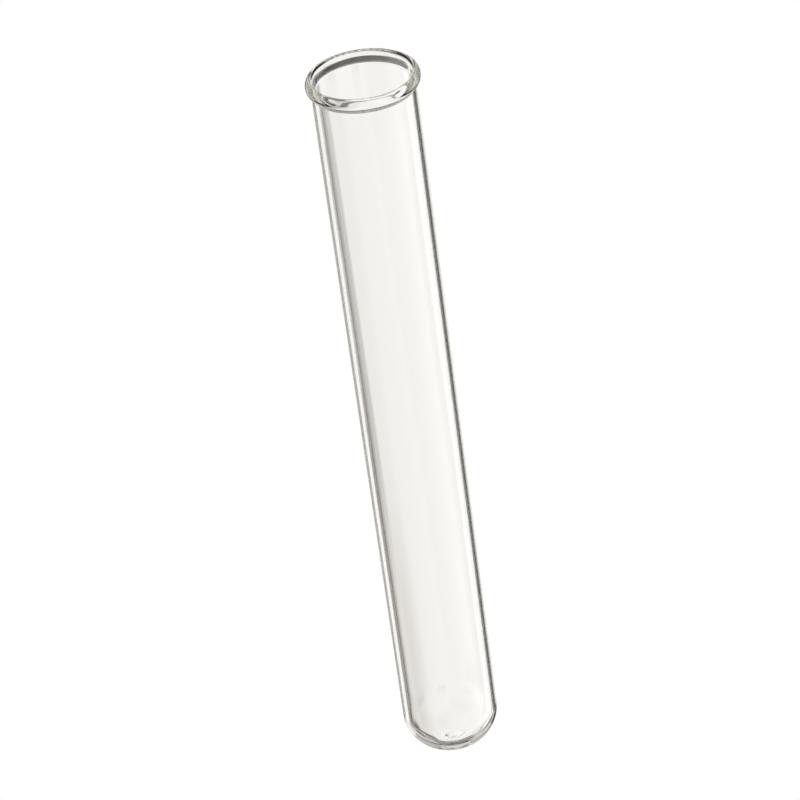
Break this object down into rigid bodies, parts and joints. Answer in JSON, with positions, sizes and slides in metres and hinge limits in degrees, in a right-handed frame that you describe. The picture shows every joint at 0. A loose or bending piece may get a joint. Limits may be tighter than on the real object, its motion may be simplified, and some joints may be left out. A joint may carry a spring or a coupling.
{
  "type": "test tube",
  "caption": "Clear glass test tube with a straight cylindrical wall, a round closed bottom and a rolled, fire-polished rim round the open mouth.",
  "frame": {"origin": "outermost point of the round bottom, on the tube's axis", "axes": "+Z along the tube's axis, from the round bottom towards the open mouth; X and Y are equivalent, because the tube is round"},
  "size_m": [0.0272, 0.0272, 0.2],
  "materials": {
    "clear_glass": "clear, smooth, fire-polished borosilicate glass"
  },
  "bodies": {
    "root": {"glass_tube": "clear_glass"}
  },
  "joints": []
}
